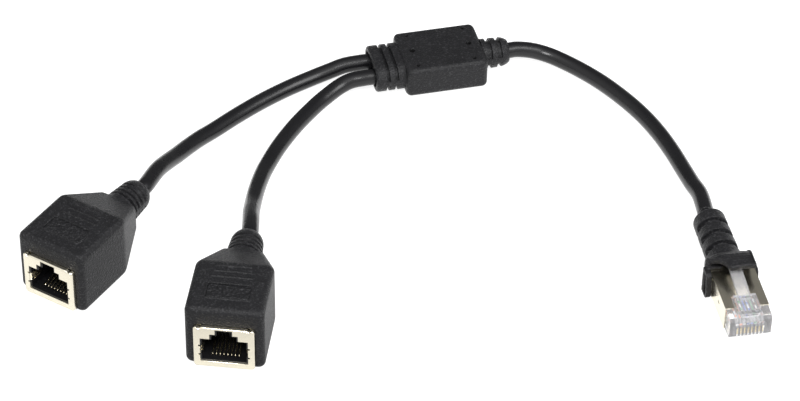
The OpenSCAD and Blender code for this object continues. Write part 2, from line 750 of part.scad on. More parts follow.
// Colours
moulding = [0.21, 0.21, 0.22];
jacket = [0.13, 0.13, 0.14];
socket_black = [0.07, 0.07, 0.08];
nickel = [0.78, 0.76, 0.7];
gold = [0.85, 0.68, 0.3];
board_green = [0.13, 0.4, 0.22];
clear = [0.88, 0.9, 0.92];
wire_colours = [
    [0.95, 0.8, 0.65], [0.9, 0.45, 0.12], [0.75, 0.9, 0.75], [0.15, 0.35, 0.8],
    [0.7, 0.8, 0.95], [0.15, 0.55, 0.25], [0.85, 0.75, 0.65], [0.45, 0.27, 0.15]];

module one_jack(piece, i = 0) {
    if (piece == "overmould") color(moulding) jack_overmould();
    if (piece == "shield") color(nickel) jack_shield();
    if (piece == "insert") color(socket_black) jack_insert();
    if (piece == "tail_board") color(board_green) jack_tail_board();
    if (piece == "wires") color(wire_colours[1]) jack_wires();
    if (piece == "contact") color(gold) jack_contact(i);
}

color(moulding) at_junction() junction_overmould();
color(board_green) at_junction() junction_splice_board();
color(wire_colours[3]) at_junction() splice_leads(-1, leg_pitch / 2, 0.72);  // junction_left_leg_wires
color(wire_colours[5]) at_junction() splice_leads(-1, -leg_pitch / 2, 0.72);  // junction_right_leg_wires
color(wire_colours[1]) at_junction() splice_leads(1, 0, 1.3);  // junction_trunk_wires
color(jacket) swept(left_route, cord_r, cord_sides);  // left_cord
color(jacket) swept(right_route, cord_r, cord_sides);  // right_cord
color(jacket) swept(trunk_route, cord_r, cord_sides);  // trunk_cord
for (piece = ["overmould", "shield", "insert", "tail_board", "wires"]) {
    at_left_jack() one_jack(piece);
    at_right_jack() one_jack(piece);
}
for (i = ways_list) {
    at_left_jack() one_jack("contact", i);
    at_right_jack() one_jack("contact", i);
    color(gold) at_plug() plug_contact(i);
    color(wire_colours[i - 1]) at_plug() plug_wire(i);
}
color(clear) at_plug() plug_housing();
color(nickel) at_plug() plug_shield();
color(moulding) at_plug() plug_boot();
color(clear) at_plug() plug_load_bar();
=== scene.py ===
import math

import bpy
import numpy as np
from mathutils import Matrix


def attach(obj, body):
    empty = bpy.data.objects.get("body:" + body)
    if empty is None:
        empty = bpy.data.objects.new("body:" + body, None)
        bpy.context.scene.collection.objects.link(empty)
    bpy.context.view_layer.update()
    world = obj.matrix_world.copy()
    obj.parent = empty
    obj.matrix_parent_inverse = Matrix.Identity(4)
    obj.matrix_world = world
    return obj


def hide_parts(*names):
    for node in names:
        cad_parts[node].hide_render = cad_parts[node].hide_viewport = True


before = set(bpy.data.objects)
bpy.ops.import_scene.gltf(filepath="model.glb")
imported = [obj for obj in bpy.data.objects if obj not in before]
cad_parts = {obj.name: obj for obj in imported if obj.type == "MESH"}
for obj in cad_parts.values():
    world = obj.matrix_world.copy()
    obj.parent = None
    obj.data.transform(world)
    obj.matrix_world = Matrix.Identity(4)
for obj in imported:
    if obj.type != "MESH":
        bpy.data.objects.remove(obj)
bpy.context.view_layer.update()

import openvdb
from mathutils import Matrix, Vector

mm = 0.001

# Where the connectors lie on the table: x, y and turn in degrees
places = {
    "leftJack": (-93.9, -115.8, -25),
    "rightJack": (-43.0, -135.8, 0),
    "junction": (0.0, 0.0, 20.3),
    "plug": (95.8, -106.8, 17),
}


def toTable(points, place):  # a connector's own millimetres to metres on the table
    x, y, turn = places[place]
    c, s = math.cos(math.radians(turn)), math.sin(math.radians(turn))
    p = np.asarray(points, float).reshape(-1, 3)
    out = np.empty_like(p)
    out[:, 0] = x + c * p[:, 0] - s * p[:, 1]
    out[:, 1] = y + s * p[:, 0] + c * p[:, 1]
    out[:, 2] = p[:, 2]
    return out * mm


# The camera, placed where the photo was taken from
cameraSpec = {
    "position": (68.32, -748.25, 576.33),
    "target": (-4.78, -60.86, 0.0),
    "lens": 142.45,
    "roll": 1.0,
}


def makeCamera(spec):
    data = bpy.data.cameras.new("camera")
    data.sensor_fit = "HORIZONTAL"
    data.sensor_width = 36
    data.lens = spec["lens"]
    data.clip_start = 0.05
    data.clip_end = 20
    camera = bpy.data.objects.new("camera", data)
    place = Vector(spec["position"]) * mm
    forward = (Vector(spec["target"]) * mm - place).normalized()
    level = forward.cross(Vector((0, 0, 1))).normalized()
    rise = level.cross(forward)
    roll = math.radians(spec["roll"])
    right = level * math.cos(roll) + rise * math.sin(roll)
    up = rise * math.cos(roll) - level * math.sin(roll)
    turn = Matrix((right, up, -forward)).transposed().to_4x4()
    camera.matrix_world = Matrix.Translation(place) @ turn
    bpy.context.scene.collection.objects.link(camera)
    bpy.context.scene.camera = camera


makeCamera(cameraSpec)
print("camera placed")

# The three cables
cableSpec = {
    "diameter": 4.8,
    "level": 4.85,        # height of the cables in the junction
    "legPitch": 7.6,
    "legExit": 21.1,
    "trunkExit": 20.6,
    "held": 11.2,         # how far from the junction's middle each cable starts
    "leadOut": 3.0,
    "jackAxis": 9.85,
    "jackEnd": 41.5,
    "jackHeld": 34.5,
    "plugAxis": 4.9,
    "bootEnd": 45.0,
    "plugHeld": 20.3,
    "sides": 12,
    "steps": 9,
}

leftWay = [
    (-28, -6.2, 4.5), (-32, -8.2, 3.6), (-36.8, -11.2, 2.8), (-43.3, -16.6, 2.4), (-49.7, -23.4, 2.4),
    (-56, -31.2, 2.4), (-61.7, -39.5, 2.7), (-65, -44.8, 3.4), (-67.6, -50, 4.2), (-69.8, -55.6, 5.4),
    (-71.8, -61.4, 7.1), (-73.4, -67.2, 8.7)]
rightWay = [
    (-25.2, -13.3, 4.4), (-28.4, -15.6, 3.5), (-31.4, -19.4, 2.8), (-34.3, -24.2, 2.4), (-38.5, -33.7, 2.4),
    (-42, -44.2, 2.4), (-44.2, -54.2, 2.6), (-44.9, -61, 3.3), (-45.1, -67.6, 4.2), (-44.9, -74.2, 5.4),
    (-44.4, -80.4, 7.3), (-43.6, -86, 8.9)]
trunkWay = [
    (26.2, 9, 4.3), (30.4, 9.1, 3.4), (35, 7.8, 2.7), (41.8, 3.8, 2.4), (48.5, -1.5, 2.4),
    (55.3, -8.2, 2.4), (61.4, -15.4, 2.4), (66.6, -23.2, 2.4), (70.8, -31, 2.4), (74.2, -38.4, 2.5),
    (77.2, -45.6, 3.1), (79.8, -52, 4.1)]


def smoothLine(points, steps):  # a curve that runs through every point
    p = np.asarray(points, float)
    ends = np.vstack([2 * p[0] - p[1], p, 2 * p[-1] - p[-2]])
    line = []
    for i in range(1, len(ends) - 2):
        a, b, c, d = ends[i - 1:i + 3]
        for k in range(steps):
            t = k / steps
            squared, cubed = 2 * a - 5 * b + 4 * c - d, 3 * b - a - 3 * c + d
            line.append(0.5 * (2 * b + (c - a) * t + squared * t ** 2 + cubed * t ** 3))
    line.append(p[-1])
    return np.array(line)


def makeCable(name, node, start, way, finish, spec):
    route = np.vstack([start, np.asarray(way, float) * mm, finish])
    line = smoothLine(route, spec["steps"])
    data = bpy.data.curves.new(name, "CURVE")
    data.dimensions = "3D"
    spline = data.splines.new("POLY")
    spline.points.add(len(line) - 1)
    spline.points.foreach_set("co", np.hstack([line, np.ones((len(line), 1))]).ravel())
    spline.points.foreach_set("radius", np.full(len(line), spec["diameter"] / 2 * mm))
    data.bevel_depth = 1   # times each point's radius
    data.bevel_resolution = spec["sides"]
    data.use_fill_caps = True
    cable = bpy.data.objects.new(name, data)
    bpy.context.scene.collection.objects.link(cable)
    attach(cable, "root")
    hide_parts(node)
    return cable


def junctionStart(side, pitch, spec):
    way = 1 if side == 0 else -1
    out = spec["trunkExit"] if side == 0 else spec["legExit"]
    stations = (spec["held"], out, out + spec["leadOut"])
    return toTable([(way * s, side * pitch / 2, spec["level"]) for s in stations], "junction")


def jackFinish(place, spec):
    stations = (spec["jackEnd"] + spec["leadOut"], spec["jackEnd"], spec["jackHeld"])
    return toTable([(0, s, spec["jackAxis"]) for s in stations], place)


def plugFinish(spec):
    stations = (spec["bootEnd"] + spec["leadOut"], spec["bootEnd"], spec["plugHeld"])
    return toTable([(0, s, spec["plugAxis"]) for s in stations], "plug")


pitch = cableSpec["legPitch"]
cables = [
    makeCable("leftLegCable", "left_cord", junctionStart(1, pitch, cableSpec), leftWay,
              jackFinish("leftJack", cableSpec), cableSpec),
    makeCable("rightLegCable", "right_cord", junctionStart(-1, pitch, cableSpec), rightWay,
              jackFinish("rightJack", cableSpec), cableSpec),
    makeCable("trunkCable", "trunk_cord", junctionStart(0, pitch, cableSpec), trunkWay,
              plugFinish(cableSpec), cableSpec),
]
print("cables laid")


# Outlines, skins and soft blends
def roundRect(halfWide, halfHigh, radius, middle=0.0, fine=8):  # corner points, anticlockwise
    points = []
    for cx, cz, start in ((1, 1, 0), (-1, 1, 90), (-1, -1, 180), (1, -1, 270)):
        for k in range(fine + 1):
            a = math.radians(start + 90 * k / fine)
            points.append((cx * (halfWide - radius) + radius * math.cos(a),
                           middle + cz * (halfHigh - radius) + radius * math.sin(a)))
    return np.array(points)


def reach(angles, outline, centre=(0.0, 0.0)):  # how far the outline is from the centre along each angle
    p = np.asarray(outline) - centre
    q = np.roll(p, -1, axis=0)
    e = q - p
    dx, dz = np.cos(angles)[:, None], np.sin(angles)[:, None]
    cross = dx * e[None, :, 1] - dz * e[None, :, 0]
    cross = np.where(np.abs(cross) < 1e-12, 1e-12, cross)
    t = (p[None, :, 0] * e[None, :, 1] - p[None, :, 1] * e[None, :, 0]) / cross
    u = (p[None, :, 0] * dz - p[None, :, 1] * dx) / cross
    hit = (t > 0) & (u > -1e-9) & (u < 1 + 1e-9)
    return np.where(hit, t, -1).max(axis=1)


def stops(*spans):  # stations along a piece: from, to, step
    found = []
    for start, end, step in spans:
        found.extend(np.linspace(start, end, max(2, round((end - start) / step) + 1)))
    return sorted(set(np.round(found, 4)))


def softStep(x, start, end):
    t = np.clip((x - start) / (end - start), 0, 1)
    return t * t * (3 - 2 * t)


def softMax(a, b, k):
    h = np.clip(0.5 + 0.5 * (a - b) / k, 0, 1)
    return b + (a - b) * h + k * h * (1 - h)


def softMin(a, b, k):
    return -softMax(-a, -b, k)


def makeMesh(name, points, faces, sharp=35.0):
    mesh = bpy.data.meshes.new(name)
    mesh.from_pydata([tuple(p) for p in points], [], [tuple(f) for f in faces])
    mesh.validate()
    mesh.update()
    mesh.shade_smooth()
    mesh.set_sharp_from_angle(angle=math.radians(sharp))
    piece = bpy.data.objects.new(name, mesh)
    bpy.context.scene.collection.objects.link(piece)
    return piece


def skin(rings, closed=True):  # quads from ring to ring; an open skin gets a fan at each end
    n, m = len(rings), len(rings[0])
    points = np.vstack(rings)
    faces = []
    for i in range(n if closed else n - 1):
        a, b = i * m, ((i + 1) % n) * m
        for k in range(m):
            j = (k + 1) % m
            faces.append((a + k, b + k, b + j, a + j))
    if not closed:
        points = np.vstack([points, rings[0].mean(axis=0), rings[-1].mean(axis=0)])
        first, last = n * m, n * m + 1
        for k in range(m):
            j = (k + 1) % m
            faces.append((first, k, j))
            faces.append((last, (n - 1) * m + j, (n - 1) * m + k))
    return points, faces


def ringAt(angles, radii, y, centre=(0.0, 0.0)):
    return np.stack([centre[0] + radii * np.cos(angles), np.full(len(angles), float(y)),
                     centre[1] + radii * np.sin(angles)], axis=1)


def mirrored(values):
    return sorted({-v for v in values} | set(values))


def anglesRound(a, b, edge, across, sides, under):  # an angle for each point round a block, anticlockwise
    bend = [(a - edge + edge * math.cos(t), b - edge + edge * math.sin(t))
            for t in np.linspace(0, math.pi / 2, 9)[1:-1]]
    side = [(a, z) for z in np.linspace(edge - b, b - edge, sides)]
    below = [(x, -b) for x in np.linspace(edge - a, a - edge, under)]
    points = (side + bend + [(x, b) for x in across] + [(-x, z) for x, z in bend[::-1]]
              + [(-x, z) for x, z in side[::-1]] + [(-x, -z) for x, z in bend] + below
              + [(x, -z) for x, z in bend[::-1]])
    return np.array([math.atan2(z, x) for x, z in points])


def domeOf(end, tipR, mouth):  # where a relief's rounded end starts, and stations along it
    start = end - math.sqrt(tipR ** 2 - mouth ** 2)
    sweep = math.asin((end - start) / tipR)
    return start, [start + tipR * math.sin(t) for t in np.linspace(0, sweep, 9)]


def reliefRadius(y, start, domeStart, rootR, tipR):
    if y > domeStart:
        return math.sqrt(max(tipR ** 2 - (y - domeStart) ** 2, 0))
    return rootR + (tipR - rootR) * max(0, (y - start) / (domeStart - start))


def grooveCut(y, grooves, wide, lip):  # 1 on the floor of a groove, 0 outside
    return max(1 - float(softStep(abs(y - g), wide / 2 - lip[0], wide / 2 + lip[1])) for g in grooves)


def grooved(angles, radii, floor, cut, spine):  # the spine is left standing on both sides
    away = softStep(np.abs(radii * np.sin(angles)), spine - 0.1, spine + 0.25)
    return radii - cut * away * np.maximum(radii - floor, 0)


# The jack mouldings: block, taper and grooved relief
jackSpec = {
    "wide": 21.5, "high": 19.7, "long": 19.6, "edge": 1.8, "frontFillet": 1.6,
    "taper": 11.6, "taperWide": 12.4, "taperHigh": 9.4, "taperBend": 0.35,
    "reliefIn": 3.2, "reliefD": 11.2, "tipD": 9.3, "end": 41.5, "mouth": 3.6,
    "grooves": 4, "groovePitch": 1.7, "grooveWide": 0.8, "grooveDeep": 0.85, "lip": (0.05, 0.04),
    "spine": 0.9,
    "blendFrom": 4.5, "blendTo": 0.8, "blend": 0.5, "shrink": 0.18,   # the taper's end runs into the relief
    "labelWide": 12.8, "labelDeep": 6.7, "labelFrom": 4.6, "labelCorner": 1.0,
    "ribs": 3, "ribLong": 11.4, "ribPitch": 2.2, "line": 0.45, "proud": 0.25,
    "markIn": 5.3, "markOut": 6.7,   # the side borders and the ribs' ends lie between these
    "pocketWide": 16.6, "pocketHigh": 13.8, "pocketMiddle": 7.45, "pocketEnd": 17.2, "pocketCorner": 0.95,
    "roomWide": 11.0, "roomHigh": 9.0, "roomEnd": 27.9, "neckR": 3.2, "boreR": 2.45, "held": 34.5,
    "stops": [   # stations from, to and step, finest where a mark begins or ends
        (1.3, 4.3, 0.75), (4.3, 5.3, 0.11), (5.3, 10.6, 0.28), (10.6, 11.5, 0.11), (11.5, 13.3, 0.45),
        (13.3, 14.1, 0.11), (14.1, 15.5, 0.47), (15.5, 16.3, 0.11), (16.3, 17.7, 0.47),
        (17.7, 18.5, 0.11), (18.5, 21.2, 0.25), (21.2, 27.6, 0.8), (27.6, 32.3, 0.2)],
    "grooveStops": (0, 0.15, 0.3, 0.37, 0.42, 0.5, 0.62),
}


def markHeight(x, y, s):  # label border and finger ribs raised on the top face
    labelEnd = s["labelFrom"] + s["labelDeep"]
    qx = np.abs(x) - (s["labelWide"] / 2 - s["labelCorner"])
    qy = np.abs(y - (s["labelFrom"] + s["labelDeep"] / 2)) - (s["labelDeep"] / 2 - s["labelCorner"])
    outside = np.hypot(np.maximum(qx, 0), np.maximum(qy, 0))
    border = outside + np.minimum(np.maximum(qx, qy), 0) - s["labelCorner"]
    away = np.abs(border + s["line"] / 2)
    for k in range(s["ribs"]):
        ribAt = labelEnd + (k + 1) * s["ribPitch"] + s["line"] / 2
        along = np.maximum(np.abs(x) - (s["ribLong"] - k) / 2 + s["line"] / 2, 0)
        away = np.minimum(away, np.hypot(along, y - ribAt))
    return s["proud"] * (1 - softStep(away, s["line"] / 2 - 0.13, s["line"] / 2 + 0.12)), border


def jackAcross(flat, s):  # points over the top, closer together at the marks
    markIn, markOut = s["markIn"], s["markOut"]
    return np.concatenate([
        np.linspace(flat, markOut, 5)[:-1], np.linspace(markOut, markIn, 11),
        np.linspace(markIn, -markIn, 45)[1:-1], np.linspace(-markIn, -markOut, 11),
        np.linspace(-markOut, -flat, 5)[1:]])


def makeJackMoulding(name, node, place, s):
    a, b, fillet = s["wide"] / 2, s["high"] / 2, s["frontFillet"]
    angles = anglesRound(a, b, s["edge"], jackAcross(a - s["edge"], s), sides=31, under=29)
    taperEnd = s["long"] + s["taper"]
    slopeA = (a - s["taperWide"] / 2) / s["taper"]
    slopeB = (b - s["taperHigh"] / 2) / s["taper"]
    tipR = s["tipD"] / 2
    domeStart, dome = domeOf(s["end"], tipR, s["mouth"])

    def block(y):
        past = s["taperBend"] * math.log1p(math.exp(min((y - s["long"]) / s["taperBend"], 60)))
        e = fillet - math.sqrt(fillet ** 2 - (fillet - y) ** 2) if y < fillet else 0.0
        return reach(angles, roundRect(a - slopeA * past - e, b - slopeB * past - e, s["edge"] - 0.5 * e))

    grooves = [taperEnd + (k + 1) * s["groovePitch"] for k in range(s["grooves"])]
    grooveFloor = (s["reliefD"] + s["tipD"]) / 4 - s["grooveDeep"]
    front = [fillet * (1 - math.sin(t)) for t in np.linspace(math.pi / 2, 0, 9)]
    near = [g + side * d for g in grooves for d in s["grooveStops"] for side in (-1, 1)]
    extra = front + [y for y in near if y < s["end"] - 0.05] + dome
    rings, labels = [], []
    for y in sorted(set(stops(*s["stops"])) | set(np.round(extra, 4))):
        radii = reliefRadius(y, taperEnd - s["reliefIn"], domeStart, s["reliefD"] / 2, tipR)
        if y <= taperEnd - s["blendFrom"]:
            radii = block(y)
        elif y < taperEnd + s["blendTo"]:
            less = 1 - s["shrink"] * softStep(y, taperEnd - 0.1, taperEnd + 0.75)
            radii = softMax(block(min(y, taperEnd)) * less, radii, s["blend"])
        cut = grooveCut(y, grooves, s["grooveWide"], s["lip"])
        ring = ringAt(angles, grooved(angles, radii, grooveFloor, cut, s["spine"]), y, (0, b))
        label = np.zeros(len(angles))
        if s["labelFrom"] - 0.6 < y < s["long"] - 0.6:
            top = ring[:, 2] > s["high"] - 0.02
            height, border = markHeight(ring[:, 0], y, s)
            ring[:, 2] += np.where(top, height, 0)
            label = np.where(top, softStep(-border, s["line"], s["line"] + 0.4), 0)
        rings.append(ring)
        labels.append(label)
    for y, r in ((s["end"] - 0.05, s["boreR"]), (s["held"], s["boreR"]),
                 (s["held"] - 0.3, s["neckR"]), (s["roomEnd"] + 0.1, s["neckR"])):
        rings.append(ringAt(angles, r, y, (0, b)))
    room = reach(angles, roundRect(s["roomWide"] / 2, s["roomHigh"] / 2, 0.5))
    for y in (s["roomEnd"], s["pocketEnd"] + 0.1):
        rings.append(ringAt(angles, room, y, (0, b)))
    pocket = reach(angles, roundRect(s["pocketWide"] / 2, s["pocketHigh"] / 2, s["pocketCorner"]))
    for wider, y in ((0, s["pocketEnd"]), (0, 0.12), (0.1, 0.0)):
        rings.append(ringAt(angles, pocket + wider, y, (0, s["pocketMiddle"])))
    points, faces = skin(rings)
    piece = makeMesh(name, toTable(points, place), faces, 40)
    mask = np.zeros(len(points), np.float32)
    mask[:len(labels) * len(angles)] = np.concatenate(labels)
    piece.data.attributes.new("labelField", "FLOAT", "POINT").data.foreach_set("value", mask)
    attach(piece, "root")
    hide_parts(node)
    return piece


mouldings = [
    makeJackMoulding("leftJackMoulding", "left_jack_overmould", "leftJack", jackSpec),
    makeJackMoulding("rightJackMoulding", "right_jack_overmould", "rightJack", jackSpec),
]
print("jack mouldings made")

# The jack shields: folded sheet with a stepped mouth
shieldSpec = {
    "wide": 16.5, "high": 13.7, "low": 0.6, "corner": 0.9, "proud": 1.3, "rear": 16.1, "sheet": 0.35,
    "bend": 0.45, "rim": 0.4, "socketWide": 12.1, "socketHigh": 7.1, "socketLow": 2.35,
    "shoulderWide": 6.8, "tongueWide": 3.9, "step": 1.7,
    "eye": 5.9,           # height inside the mouth that sees all of its outline
    "slitAt": 7.1, "slitWide": 0.62, "slitDeep": 0.45, "slitEnd": 0.7,
    "fingerLow": 4.6, "fingerHigh": 2.4, "nick": 0.5,
    "finger": [   # the sprung finger's outer line: in from the mouth's edge, back from the plate
        (0.1, 0), (-0.28, 0.45), (-0.5, 1.2), (-0.66, 2.2), (-0.65, 3.2), (-0.45, 4.6), (-0.15, 6.1)],
    "fingerThick": 0.28,
}


def mouthOutline(s, extra):
    w, sh, t = s["socketWide"] / 2 + extra, s["shoulderWide"] / 2 + extra, s["tongueWide"] / 2 + extra
    low, z1 = s["socketLow"] - extra, s["socketLow"] + s["socketHigh"] + extra
    z2, z3 = z1 + s["step"], z1 + 2 * s["step"]
    half = [(w, low), (w, z1), (sh, z1), (sh, z2), (t, z2), (t, z3)]
    return np.array(half + [(-x, z) for x, z in half[::-1]])


def shieldAngles(mouth, outer, nicks, edge, s):  # every corner, slit and nick gets its own angles
    keys = [math.atan2(z - s["eye"], x) for x, z in [*mouth, *outer]]
    for side in (1, -1):
        keys += [math.atan2(z + d - s["eye"], side * edge) for z in nicks for d in (-0.27, -0.23, 0.23, 0.27)]
        keys += [math.atan2(s["high"] - s["eye"], side * s["slitAt"] + d)
                 for d in (-0.19, -0.15, -0.1, 0, 0.1, 0.15, 0.19)]
    keys += list(np.linspace(-math.pi, math.pi, 97)[:-1])
    return np.array(sorted(set(np.round(keys, 5))))


def addFingers(points, faces, edge, s):
    strip = [(edge + x, y) for x, y in s["finger"]]
    loop = strip + [(x + s["fingerThick"], y) for x, y in strip[::-1]]
    m = len(loop)
    for side in (1, -1):
        base = len(points)
        for z in (s["fingerLow"], s["fingerLow"] + s["fingerHigh"]):
            points = np.vstack([points, [(side * x, y - s["proud"] + 0.05, z + s["low"]) for x, y in loop]])
        for k in range(m):
            j = (k + 1) % m
            quad = (base + k, base + j, base + m + j, base + m + k)
            faces.append(quad if side > 0 else quad[::-1])
        for z in (0, 1):
            first, last = base + z * m, base + z * m + m - 1
            for k in range(len(strip) - 1):
                quad = (first + k, first + k + 1, last - 1 - k, last - k)
                faces.append(quad if (z > 0) == (side > 0) else quad[::-1])
    return points, faces


def makeShield(name, node, place, s):
    eye, centre = (0.0, s["eye"]), (0, s["low"] + s["eye"])
    sheet, bend, plate = s["sheet"], s["bend"], -s["proud"]
    mouth = mouthOutline(s, s["rim"])
    nicks = (s["fingerLow"] - 0.3, s["fingerLow"] + s["fingerHigh"] + 0.3)
    edge = s["socketWide"] / 2 + s["rim"]
    outer = roundRect(s["wide"] / 2, s["high"] / 2, s["corner"], s["high"] / 2)
    angles = shieldAngles(mouth, outer, nicks, edge, s)
    wallOut = reach(angles, outer, eye)
    x, z = wallOut * np.cos(angles), s["eye"] + wallOut * np.sin(angles)
    beside = softStep(np.abs(np.abs(x) - s["slitAt"]), s["slitWide"] / 2 - 0.03, s["slitWide"] / 2 + 0.03)
    slit = (z > s["high"] - 0.05) * (1 - beside)
    hole = reach(angles, mouth, eye)
    hx, hz = hole * np.cos(angles), s["eye"] + hole * np.sin(angles)
    atSide = np.abs(np.abs(hx) - edge) < 0.02
    nick = sum((np.abs(hz - n) < 0.25) & atSide for n in nicks)
    hole = hole + nick * s["nick"] / np.maximum(np.abs(np.cos(angles)), 0.3)

    def wall(inset, y, cut=0.0):
        corner = max(s["corner"] - inset, 0.2)
        outline = roundRect(s["wide"] / 2 - inset, s["high"] / 2 - inset, corner, s["high"] / 2)
        return ringAt(angles, reach(angles, outline, eye) - cut * slit, y, centre)

    rings = [wall(0, s["rear"]), wall(0, s["slitEnd"] + 0.1), wall(0, s["slitEnd"]),
             wall(0, s["slitEnd"] - 0.05, s["slitDeep"])]
    for t in np.linspace(0, math.pi / 2, 7):
        rings.append(wall(bend * (1 - math.cos(t)), plate + bend * (1 - math.sin(t)), s["slitDeep"]))
    for wider, back in ((0.05, 0), (0, 0.05), (0, sheet)):
        rings.append(ringAt(angles, hole + wider, plate + back, centre))
    rings += [wall(sheet + 0.25, plate + sheet), wall(sheet, plate + sheet + 0.25), wall(sheet, s["rear"])]
    points, faces = addFingers(*skin(rings), edge, s)
    piece = makeMesh(name, toTable(points, place), faces, 30)
    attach(piece, "root")
    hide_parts(node)
    return piece


shields = [
    makeShield("leftJackShield", "left_jack_shield", "leftJack", shieldSpec),
    makeShield("rightJackShield", "right_jack_shield", "rightJack", shieldSpec),
]
print("jack shields made")

# The junction moulding: block, oblong two-cable relief and round trunk relief
junctionSpec = {
    "long": 24.6, "wide": 20.1, "high": 9.7,
    "edge": 1.6, "edgeLess": 0.45,   # the top and bottom edges are rounded less
    "legLong": 8.8, "legWide": 17.0, "legHigh": 8.8, "legTip": 0.8,
    "legGrooves": 2, "legGrooveIn": 3.5, "legGroovePitch": 2.6, "legGrooveWide": 0.9,
    "trunkLong": 8.3, "trunkD": 9.2, "trunkTipD": 8.8, "trunkMouth": 3.4,
    "trunkGrooves": 2, "trunkGrooveIn": 2.2, "trunkGroovePitch": 3.0, "trunkGrooveWide": 1.4,
    "grooveDeep": 0.9, "lip": (0.06, 0.05), "spine": 0.9,
    "mouthWide": 13.6, "mouthHigh": 6.0, "mouthDeep": 1.0, "boreR": 2.45,
    "dimpleX": 8.6, "dimpleY": 7.5, "dimpleLarge": 1.6, "dimpleSmall": 1.0, "dimpleDeep": 0.9,
    "acrossStops": [(-1.1, 1.1, 0.13), (1.3, 6.5, 0.6), (6.8, 8.2, 0.11), (8.3, 8.45, 0.2)],
    "alongStops": [(-7.4, 7.4, 0.8), (7.7, 9.5, 0.12), (9.6, 10.7, 0.3)],   # both finest at the dimples
    "grooveStops": (-0.2, -0.06, -0.02, 0.05, 0.12),
}


def grooveStations(grooves, wide, steps):
    return (list(grooves) + [g - wide / 2 + d for g in grooves for d in steps]
            + [g + wide / 2 - d for g in grooves for d in steps])


def sinkDimples(ring, y, s):  # lowers the top where the moulding dimples are, and returns how much, as the mask for painted shade in them
    dimples = [(0.0, side * s["dimpleX"], s["dimpleLarge"]) for side in (1, -1)]
    dimples += [(u, v, s["dimpleSmall"]) for u in (-s["dimpleY"], s["dimpleY"])
                for v in (-s["dimpleX"], s["dimpleX"])]
    top = ring[:, 2] > s["high"] - 0.02
    dimpleShade = np.zeros(len(ring))
    for u, v, d in dimples:
        away = np.hypot(ring[:, 0] - u, y - v)
        sunk = np.where(top, 1 - softStep(away, d / 2 - 0.08, d / 2 + 0.08), 0)
        ring[:, 2] -= s["dimpleDeep"] * sunk
        dimpleShade = np.maximum(dimpleShade, sunk)
    return dimpleShade


def makeJunction(name, node, s):
    a, b, half, edge = s["wide"] / 2, s["high"] / 2, s["long"] / 2, s["edge"]
    tops = mirrored(stops(*s["acrossStops"]))
    angles = anglesRound(a, b, edge, tops[::-1], sides=27, under=45)
    legEnd, trunkEnd = half + s["legLong"], half + s["trunkLong"]
    trunkR, tipR = s["trunkD"] / 2, s["trunkTipD"] / 2
    rings = []

    def addRing(radii, y):
        rings.append(ringAt(angles, radii, y, (0, b)))

    def block(y):
        over = max(abs(y) - (half - edge), 0)
        e = edge - math.sqrt(max(edge ** 2 - over ** 2, 0))
        return reach(angles, roundRect(a - e, b - s["edgeLess"] * e, edge))

    def leg(less):
        halfHigh = s["legHigh"] / 2 - less
        return reach(angles, roundRect(s["legWide"] / 2 - less, halfHigh, halfHigh - 0.1))

    mouth = reach(angles, roundRect(s["mouthWide"] / 2, s["mouthHigh"] / 2, s["mouthHigh"] / 2 - 0.1))
    for wider, deep in ((0, s["mouthDeep"]), (0.05, 0.25), (0.3, 0)):
        addRing(mouth + wider, deep - legEnd)
    for t in np.linspace(0, math.pi / 2, 6):
        addRing(leg(s["legTip"] * (1 - math.sin(t))), s["legTip"] * (1 - math.cos(t)) - legEnd)
    grooves = [s["legGrooveIn"] - legEnd + k * s["legGroovePitch"] for k in range(s["legGrooves"])]
    stations = grooveStations(grooves, s["legGrooveWide"], s["grooveStops"])
    for y in sorted(stations + [1.6 - legEnd, -half - 0.5, -half - 0.2]):
        cut = grooveCut(y, grooves, s["legGrooveWide"], s["lip"])
        addRing(grooved(angles, leg(0), leg(s["grooveDeep"]), cut, s["spine"]), y)
    addRing(leg(-0.08), -half)

    # masks of painted shade in the dimples, ring by ring
    dimpleShades = {}
    inset = [half - edge + edge * math.sin(t) for t in np.linspace(math.pi / 2 - 0.02, 0, 9)]
    for y in mirrored(inset + stops(*s["alongStops"])):
        addRing(block(y), y)
        dimpleShades[len(rings) - 1] = sinkDimples(rings[-1], y, s)

    grooves = [half + s["trunkGrooveIn"] + k * s["trunkGroovePitch"] for k in range(s["trunkGrooves"])]
    domeStart, dome = domeOf(trunkEnd, tipR, s["trunkMouth"])
    stations = grooveStations(grooves, s["trunkGrooveWide"], s["grooveStops"])
    for y in sorted(stations + [half, half + 0.25, half + 0.6] + dome):
        r = reliefRadius(y, half, domeStart, trunkR, tipR) + (0.12 if y == half else 0)
        cut = grooveCut(y, grooves, s["trunkGrooveWide"], s["lip"])
        addRing(grooved(angles, r, trunkR - s["grooveDeep"], cut, s["spine"]), y)
    for deep, r in ((0.1, 2.6), (0.5, s["boreR"]), (4, s["boreR"])):
        addRing(r, trunkEnd - deep)

    points, faces = skin(rings, closed=False)
    turned = np.stack([points[:, 1], -points[:, 0], points[:, 2]], axis=1)
    piece = makeMesh(name, toTable(turned, "junction"), faces, 40)
    mask = np.zeros(len(points), np.float32)
    for i, dimpleShade in dimpleShades.items():
        mask[i * len(angles):(i + 1) * len(angles)] = dimpleShade
    # the mask of painted shade in the dimples is stored on the mesh for the finish
    piece.data.attributes.new("paintedDimpleShade", "FLOAT", "POINT").data.foreach_set("value", mask)
    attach(piece, "root")
    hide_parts(node)
    return piece


junction = makeJunction("junctionMoulding", "junction_overmould", junctionSpec)
print("junction made")

